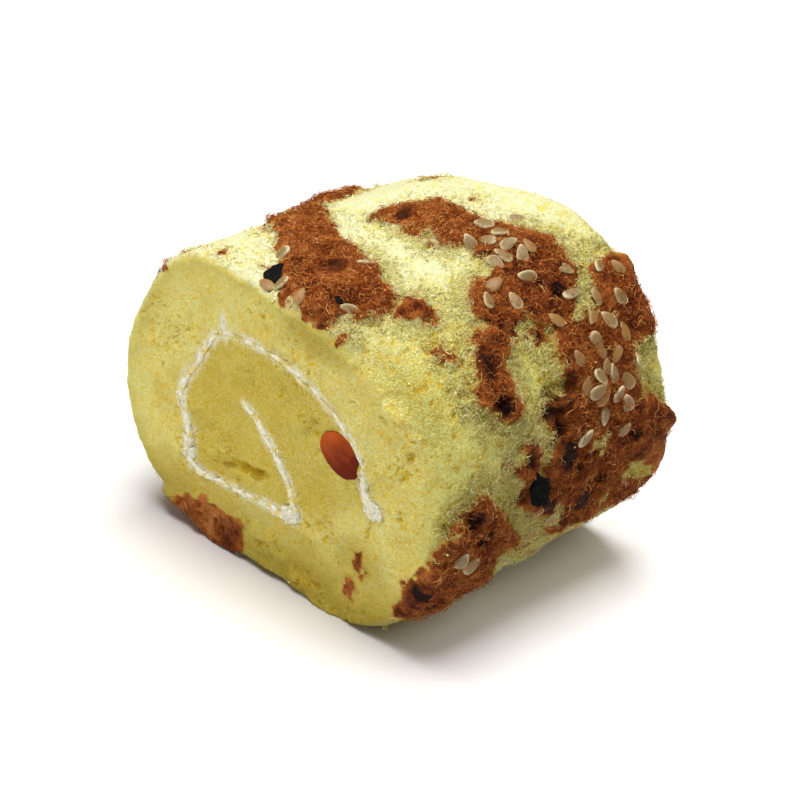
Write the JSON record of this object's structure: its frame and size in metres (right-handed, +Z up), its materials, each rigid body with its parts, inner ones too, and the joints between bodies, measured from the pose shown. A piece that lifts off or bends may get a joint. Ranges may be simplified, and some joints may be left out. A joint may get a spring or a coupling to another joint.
{
  "type": "swiss roll cake",
  "caption": "Short rolled sponge cake with a thin cream spiral at its cut faces, and browned floss patches, sesame seeds and seaweed flakes baked on the outside.",
  "frame": {"origin": "centre of the bounding box, on the surface that the roll rests on", "axes": "+Z up; the roll's axis lies along Y with its near cut face, the one with the morsel, towards -Y; +X is the flank with the largest browned patch"},
  "size_m": [0.0717, 0.043, 0.0545],
  "materials": {
    "sponge": "matte open crumb with browned, fibrous patches",
    "cream": "soft satin",
    "morsel": "moist, glossy"
  },
  "bodies": {
    "root": {"sponge": "sponge", "cream": "cream", "morsel": "morsel"}
  },
  "joints": []
}
